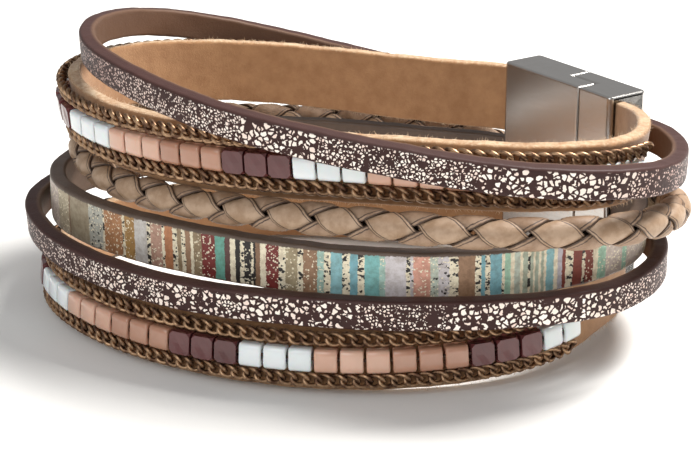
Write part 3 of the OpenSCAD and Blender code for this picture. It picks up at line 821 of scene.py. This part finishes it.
def turned_to_ways(tree):
    """The rotation that sets a copy's X along the strand and its Z outwards."""
    ways = {k: read(tree, label, "FLOAT_VECTOR") for k, label in enumerate(("way_along", "way_out"))}
    return put(tree, "FunctionNodeAxesToRotation", ways, primary_axis="X", secondary_axis="Z")


def real_copies(tree, points, shape, **inputs):
    """A copy of a shape on each point, made real."""
    copies = put(tree, "GeometryNodeInstanceOnPoints", {"Points": points, "Instance": shape, **inputs})
    return put(tree, "GeometryNodeRealizeInstances", {"Geometry": copies})


def run_tree(piece, tree, ids, **values):
    """Gives the piece its tree's result as a plain mesh."""
    modifier = piece.modifiers.new("copies", "NODES")
    modifier.node_group = tree
    for label, value in values.items():
        modifier[ids[label]] = value
    mesh = evaluated_mesh(piece)
    piece.modifiers.remove(modifier)
    piece.data = mesh


# %% [markdown]
# ## Curb chains
# A curb link is an oval ring twisted so that the links lie flat against each other, each through the next.
# The tree draws the oval as a curve, twists it by its distance from the middle, gives it a round wire and
# sets one on each marked point.

# %% Chain tree
LINK_PITCH = 1.45
WIRE = 0.55
LINK_W = 1.95
LINK_L = LINK_PITCH + 2 * WIRE
LINK_TWIST = math.radians(45)
LINK_POINTS, WIRE_POINTS = 16, 7

chain_tree, given, end, chain_ids = new_tree("curb_links", Length="Float", Width="Float", Wire="Float",
                                             Twist="Float", Metal="Material")
circle = put(chain_tree, "GeometryNodeCurvePrimitiveCircle", {"Resolution": LINK_POINTS, "Radius": 1.0})
here = put(chain_tree, "GeometryNodeInputPosition")
here = add(chain_tree, "ShaderNodeSeparateXYZ", {0: here}).outputs
reach = [times(chain_tree, maths(chain_tree, "SUBTRACT", given[label], given["Wire"]), 0.5)
         for label in ("Length", "Width")]
x = times(chain_tree, here["X"], reach[0])
y = times(chain_tree, here["Y"], reach[1])
angle = times(chain_tree, here["X"], given["Twist"])
across = times(chain_tree, y, maths(chain_tree, "COSINE", angle))
high = times(chain_tree, y, maths(chain_tree, "SINE", angle))
twisted = put(chain_tree, "ShaderNodeCombineXYZ", {0: x, 1: across, 2: high})
ring = put(chain_tree, "GeometryNodeSetPosition", {"Geometry": circle, "Position": twisted})
wire = put(chain_tree, "GeometryNodeCurvePrimitiveCircle",
           {"Resolution": WIRE_POINTS, "Radius": times(chain_tree, given["Wire"], 0.5)})
chain_link = put(chain_tree, "GeometryNodeCurveToMesh", {"Curve": ring, "Profile Curve": wire})
links = real_copies(chain_tree, given["Geometry"], chain_link, Rotation=turned_to_ways(chain_tree))
links = put(chain_tree, "GeometryNodeSetShadeSmooth", {"Geometry": links})
links = put(chain_tree, "GeometryNodeSetMaterial", {"Geometry": links, "Material": given["Metal"]})
link(chain_tree, end, Geometry=links)
print(chain_tree.name, "takes", ", ".join(chain_ids))

# %% Chains
BEAD, BEAD_T, SEAT, CHAIN_W, CHAIN_H = 2.7, 1.8, 0.14, 2.0, 1.8
TRIM_UP = {"upper": 0.5, "lower": 0.0}
BARE_START, BARE_END = 17.6, 24.0
STRAP_STEPS = 3
CHAIN_SAMPLES = 1500

copper, tree, shader = new_material("antique_copper", Metallic=1.0)
patina = noise(tree, object_place(tree), 900.0, 4.0, 0.6)
tone = mix(tree, ease(tree, patina, 0.4, 0.65), linear("ac8c6e"), linear("5e4537"))
link(tree, shader, Base_Color=tone, Roughness=scaled(tree, patina, 0.3, 0.3))
bump(tree, shader, patina, 0.01)


def trim_ends(route):
    """The u at which the trim starts and ends, on one of the source's steps."""
    s, u = ruler(route, SUEDE_T / 2)
    first = math.ceil(STRAP_STEPS * np.interp(BARE_START, s, u)) / STRAP_STEPS
    last = math.floor(STRAP_STEPS * np.interp(s[-1] - BARE_END, s, u)) / STRAP_STEPS
    return first, last


def chain(name, route, trim_up, side, node):
    out_by = SUEDE_T / 2 + SEAT + CHAIN_H / 2
    up_by = trim_up + side * (BEAD / 2 + SEAT + CHAIN_W / 2)
    u = np.linspace(*trim_ends(route), CHAIN_SAMPLES)
    at, _, out, up = place(route, u)
    s = lengths_along(at + out * out_by + up * up_by)
    count = int((s[-1] - LINK_L) / LINK_PITCH) + 1
    steps = (s[-1] - LINK_PITCH * (count - 1)) / 2 + LINK_PITCH * np.arange(count)
    at, along, out, up = place(route, np.interp(steps, s, u))
    piece = marked_points(name, at + out * out_by + up * up_by, along, out)
    run_tree(piece, chain_tree, chain_ids, Length=LINK_L * MM, Width=LINK_W * MM, Wire=WIRE * MM,
             Twist=LINK_TWIST, Metal=copper)
    finish_piece(piece, "chain_metal", node)
    print(count, "links")


for level, route in SUEDES:
    for row, side in (("high", 1), ("low", -1)):
        chain(f"curb_chain_{level}_{row}", route, TRIM_UP[level], side, f"chain_{level}_{row}")

# %% [markdown]
# ## Square beads
# The beads are small tiles of glass, drilled along the strap and strung on a thread. Three white, three
# peach, three tan and three dark plum ones follow each other all the way round. The plain ones have softly
# polished edges. The dark ones have their eight corners cut off, so that each face is a flat diamond. Both
# are lofted from the bore's mouth over the outside and back, and a tree picks one for each place and gives
# each sort its glass.

# %% Helpers for bead shapes
BORE = 1.05
INSIDE_BORE = 0.12
HALF_LONG, HALF_HIGH, HALF_THICK = BEAD / 2, BEAD / 2, BEAD_T / 2


def drilled(name, half, middle):
    """A closed bead: half's rings run from inside a mouth to the middle, and mirrored ones on from it."""
    mirrored = [ring * (-1, 1, 1) for ring in half]
    rings = np.array(mirrored + [middle] + half[::-1])
    n, m = rings.shape[:2]
    faces = [[i * m + j, i * m + (j + 1) % m, (i + 1) % n * m + (j + 1) % m, (i + 1) % n * m + j]
             for i in range(n) for j in range(m)]
    return bpy.data.objects.new(name, closed_mesh(name, rings, faces))


def ring_at(x, outline):
    return np.column_stack([np.full(len(outline), x), outline])


def circle_points(turn):
    return np.stack([np.cos(turn), np.sin(turn)], 1)


# %% Bead shapes
ROUND_POINTS = 24
ROUNDED, SQUARENESS = 0.22, 9.0
CUT, FACE_RISE, SIDE_SHY = 0.42, 0.09, 0.03


def round_bead_shape():
    """Rounded squares whose edges are softened towards both ends."""
    turn = (np.arange(ROUND_POINTS) + 0.5) * 2 * math.pi / ROUND_POINTS
    c, s = np.cos(turn), np.sin(turn)
    radius = (np.abs(c) ** SQUARENESS + np.abs(s) ** SQUARENESS) ** (-1 / SQUARENESS)
    bore = circle_points(turn) * BORE / 2

    def outline(less):
        return np.stack([radius * c * (HALF_HIGH - less), radius * s * (HALF_THICK - less)], 1)

    half = [ring_at(HALF_LONG - INSIDE_BORE, bore), ring_at(HALF_LONG - 0.02, bore * 1.12),
            ring_at(HALF_LONG, outline(ROUNDED) * 0.6 + bore * 0.4),
            ring_at(HALF_LONG, outline(ROUNDED)),
            ring_at(HALF_LONG - ROUNDED * 0.3, outline(ROUNDED * 0.3)),
            ring_at(HALF_LONG - ROUNDED, outline(0))]
    return drilled("round_bead", half, ring_at(0.0, outline(0)))


def cut_bead_shape():
    """Squares whose corners are cut away towards both ends, with each face raised a little in its middle."""
    def outline(off, rise=0.0):
        """Each corner's two points, and after them the middle of the side that follows."""
        points = []
        for y, z, upright in ((1, 1, 0), (-1, 1, 1), (-1, -1, 0), (1, -1, 1)):
            beside, below = (HALF_HIGH * y, (HALF_THICK - off) * z), ((HALF_HIGH - off) * y, HALF_THICK * z)
            middle = ((HALF_HIGH + rise) * y, 0.0) if upright else (0.0, (HALF_THICK + rise) * z)
            points += [below, beside, middle] if upright else [beside, below, middle]
        return np.array(points)

    turn = np.arctan2(outline(CUT)[:, 1], outline(CUT)[:, 0])
    bore = circle_points(turn) * BORE / 2
    half = [ring_at(HALF_LONG - INSIDE_BORE, bore), ring_at(HALF_LONG, bore),
            ring_at(HALF_LONG, outline(CUT)), ring_at(HALF_LONG - CUT, outline(SIDE_SHY))]
    return drilled("cut_bead", half, ring_at(0.0, outline(SIDE_SHY, FACE_RISE)))


round_bead, cut_bead = round_bead_shape(), cut_bead_shape()
print("a bead has", len(round_bead.data.polygons), "faces, a cut one", len(cut_bead.data.polygons))

# %% Bead glass
def bead_glass(name, body, shade, rough, clear, coat):
    """Opaque glass, a little cloudy, with each bead's own tint."""
    glass, tree, shader = new_material(name, Roughness=rough, Coat_Weight=coat, Coat_Roughness=0.08,
                                       Subsurface_Weight=clear, Subsurface_Scale=0.0012)
    tint = add(tree, "ShaderNodeAttribute", attribute_name="tint").outputs["Fac"]
    where = object_place(tree)
    share = scaled(tree, noise(tree, where, 700.0, 3.0), 0.5, times(tree, tint, 0.6))
    link(tree, shader, Base_Color=mix(tree, share, linear(body), linear(shade)))
    bump(tree, shader, noise(tree, where, 1500.0, 2.0), 0.012)
    return glass


GLASSES = {
    "White": bead_glass("bead_white", "eceff0", "dde4e5", 0.22, 0.15, 0.5),
    "Peach": bead_glass("bead_peach", "dcb49e", "c99c84", 0.25, 0.15, 0.5),
    "Tan": bead_glass("bead_tan", "b98c74", "a5765e", 0.22, 0.1, 0.5),
    "Dark": bead_glass("bead_dark", "6c3636", "4c2828", 0.14, 0.0, 0.15),
}
DARK_SORT = 3
print("glasses:", ", ".join(GLASSES))

# %% Bead tree
bead_tree, given, end, bead_ids = new_tree("strung_beads", Round="Object", Cut="Object",
                                           **{name: "Material" for name in GLASSES})
sort = read(bead_tree, "sort", "FLOAT")
is_cut = maths(bead_tree, "GREATER_THAN", sort, DARK_SORT - 0.5)
is_round = maths(bead_tree, "SUBTRACT", 1.0, is_cut)
both = add(bead_tree, "GeometryNodeJoinGeometry")
for label, chosen in (("Round", is_round), ("Cut", is_cut)):
    shape = add(bead_tree, "GeometryNodeObjectInfo", {"Object": given[label]}).outputs["Geometry"]
    beads = real_copies(bead_tree, given["Geometry"], shape, Selection=chosen,
                        Rotation=turned_to_ways(bead_tree))
    if label == "Round":
        beads = put(bead_tree, "GeometryNodeSetShadeSmooth", {"Geometry": beads})
    link(bead_tree, both, Geometry=beads)
beads = both.outputs[0]
for k, name in enumerate(GLASSES):
    mine = maths(bead_tree, "COMPARE", sort, float(k), 0.4)
    beads = put(bead_tree, "GeometryNodeSetMaterial",
                {"Geometry": beads, "Selection": mine, "Material": given[name]})
link(bead_tree, end, Geometry=beads)
print(bead_tree.name, "takes", ", ".join(bead_ids))

# %% Bead rows
BEAD_PITCH = 2.9
ROW_START = 10
ALIKE = 3


def bead_row(level, route, seed):
    length = ruler(route, SUEDE_T / 2)[0][-1]
    count = math.floor((length - BARE_START - BARE_END) / BEAD_PITCH) - 1
    number = np.arange(count)
    u = at_length(route, SUEDE_T / 2, BARE_START + BEAD_PITCH * (number + 1))
    at, along, out, up = place(route, u)
    sort = (number - ROW_START) // ALIKE % len(GLASSES)
    tint = np.random.default_rng(seed).uniform(0, 1, count)
    middles = at + out * (SUEDE_T / 2 + SEAT + BEAD_T / 2) + up * TRIM_UP[level]
    piece = marked_points("beads_" + level, middles, along, out, sort=sort, tint=tint)
    run_tree(piece, bead_tree, bead_ids, Round=round_bead, Cut=cut_bead, **GLASSES)
    finish_piece(piece, "beads", "bead_row_" + level)
    print(level, "row:", count, "beads")


bead_row("upper", UPPER_SUEDE, 71)
bead_row("lower", LOWER_SUEDE, 72)

# %% Bead threads
thread, tree, shader = new_material("waxed_thread", Roughness=0.6)
ply = noise(tree, object_place(tree), 3500.0, 2.0)
link(tree, shader, Base_Color=mix(tree, ply, linear("5b4536"), linear("7d6350")))
bump(tree, shader, ply, 0.03)
for level, _ in SUEDES:
    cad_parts["bead_thread_" + level].data.materials[0] = thread
print("both threads have", thread.name)

# %% [markdown]
# ## Frayed suede edges
# Cut suede sheds short pale fibres along its edges. They are far too fine to model one by one, so a tree
# strews a thin three-sided hair on some of the points that Python lays close together along each edge.

# %% Fibre tree
HAIR_TIP, FIBRE_LEAN = 0.004, 0.9
FIBRE_SHORT, FIBRE_LONG = 0.4, 1.3
fibre_tree, given, end, fibre_ids = new_tree("edge_fibres", Share="Float", Length="Float", Thickness="Float",
                                             Nap="Material")
hair = put(fibre_tree, "GeometryNodeMeshCone", {
    "Vertices": 3, "Side Segments": 2, "Radius Top": HAIR_TIP * MM, "Radius Bottom": given["Thickness"],
    "Depth": given["Length"]})
lean = put(fibre_tree, "FunctionNodeRandomValue",
           {0: (-FIBRE_LEAN, -FIBRE_LEAN, 0.0), 1: (FIBRE_LEAN, FIBRE_LEAN, WHOLE_TURN), "Seed": 5},
           data_type="FLOAT_VECTOR")
keep = add(fibre_tree, "FunctionNodeRandomValue", {"Probability": given["Share"], "Seed": 6},
           data_type="BOOLEAN").outputs[3]
grow = add(fibre_tree, "FunctionNodeRandomValue", {2: FIBRE_SHORT, 3: FIBRE_LONG, "Seed": 7},
           data_type="FLOAT").outputs[1]
stand = put(fibre_tree, "FunctionNodeRotateRotation", {0: turned_to_ways(fibre_tree), 1: lean},
            rotation_space="LOCAL")
hairs = real_copies(fibre_tree, given["Geometry"], hair, Selection=keep, Rotation=stand, Scale=grow)
hairs = put(fibre_tree, "GeometryNodeSetMaterial", {"Geometry": hairs, "Material": given["Nap"]})
link(fibre_tree, end, Geometry=hairs)
print(fibre_tree.name, "takes", ", ".join(fibre_ids))

# %% Fibres on the suede
FIBRE_STEP, FIBRE_LENGTH, FIBRE_W, FIBRE_SHARE = 0.12, 0.45, 0.022, 0.45
FROM_ENDS, FROM_FACE, FROM_EDGE = 6.0, 0.12, 0.1
FIBRE_UP, FIBRE_OUT = 0.8, 0.4
FLOOR_CLEARANCE = FIBRE_LENGTH * 1.6
nap, tree, shader = new_material("suede_fibre", Roughness=0.9)
tone = mix(tree, noise(tree, object_place(tree), 500.0), linear("efdcc2"), linear("c9a982"))
link(tree, shader, Base_Color=tone)


def frayed_edges(level, route):
    """Fibres on the strap's four long edges, where they stay clear of the floor."""
    length = ruler(route, 0)[0][-1]
    u = at_length(route, 0, np.arange(FROM_ENDS, length - FROM_ENDS, FIBRE_STEP))
    at, along, out, up = place(route, u)
    half_w = (SUEDE_END_W + (SUEDE_W - SUEDE_END_W) * freed(route, u, NARROW_FROM, NARROW_POINTS)) / 2
    roots, ways = [], []
    for side in (1, -1):
        high = up * side * (half_w - FROM_EDGE)[:, None]
        for face in (1, -1):
            roots.append(at + out * face * (SUEDE_T / 2 - FROM_FACE) + high)
            ways.append(up * side * FIBRE_UP + out * face * FIBRE_OUT)
    roots, ways, along = np.vstack(roots), unit(np.vstack(ways)), np.vstack([along] * 4)
    clear = roots[:, 2] > FLOOR_CLEARANCE
    piece = marked_points("fibres_" + level, roots[clear], along[clear], ways[clear])
    run_tree(piece, fibre_tree, fibre_ids, Share=FIBRE_SHARE, Length=FIBRE_LENGTH * MM,
             Thickness=FIBRE_W * MM, Nap=nap)
    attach(piece, "root")
    print(piece.name, len(piece.data.polygons), "faces")


for level, route in SUEDES:
    frayed_edges(level, route)

# %% [markdown]
# ## Clasp
# The clasp is a bright cast block in two halves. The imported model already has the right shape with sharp
# arrises. A copy with its triangles merged and its edges rounded by a fine bevel catches thin lines of
# light, as polished metal does. The metal is nearly smooth, with faint rubbing marks.

# %% Clasp metal
steel, tree, shader = new_material("polished_steel", Metallic=1.0)
rubbed = put(tree, "ShaderNodeMapping", {"Vector": object_place(tree), "Scale": (1.0, 1.0, 12.0)})
marks = noise(tree, rubbed, 350.0, 4.0, 0.7)
link(tree, shader, Base_Color=mix(tree, marks, linear("cdcac7"), linear("b4b0ac")),
     Roughness=scaled(tree, marks, 0.14, 0.15))
bump(tree, shader, marks, 0.0008)
print("clasp metal:", steel.name)

# %% Clasp halves
CLASP_BEVEL = 0.3
SAME_POINT = 1e-6
FLAT_WITHIN, SHARP_FROM = math.radians(1), math.radians(35)
for half_name in ("clasp_left", "clasp_right"):
    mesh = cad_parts[half_name].data.copy()
    mesh.materials.clear()
    mesh.materials.append(steel)
    work = bmesh.new()
    work.from_mesh(mesh)
    bmesh.ops.remove_doubles(work, verts=work.verts, dist=SAME_POINT)
    bmesh.ops.dissolve_limit(work, angle_limit=FLAT_WITHIN, verts=work.verts, edges=work.edges)
    work.to_mesh(mesh)
    work.free()
    piece = new_piece("polished_" + half_name, mesh)
    bevel = piece.modifiers.new("bevel", "BEVEL")
    bevel.width = CLASP_BEVEL * MM
    bevel.segments = 3
    bevel.use_clamp_overlap = False
    bevel.limit_method = "ANGLE"
    bevel.angle_limit = SHARP_FROM
    rounded = evaluated_mesh(piece)
    piece.modifiers.remove(bevel)
    piece.data = rounded
    finish_piece(piece, "clasp_metal", half_name)
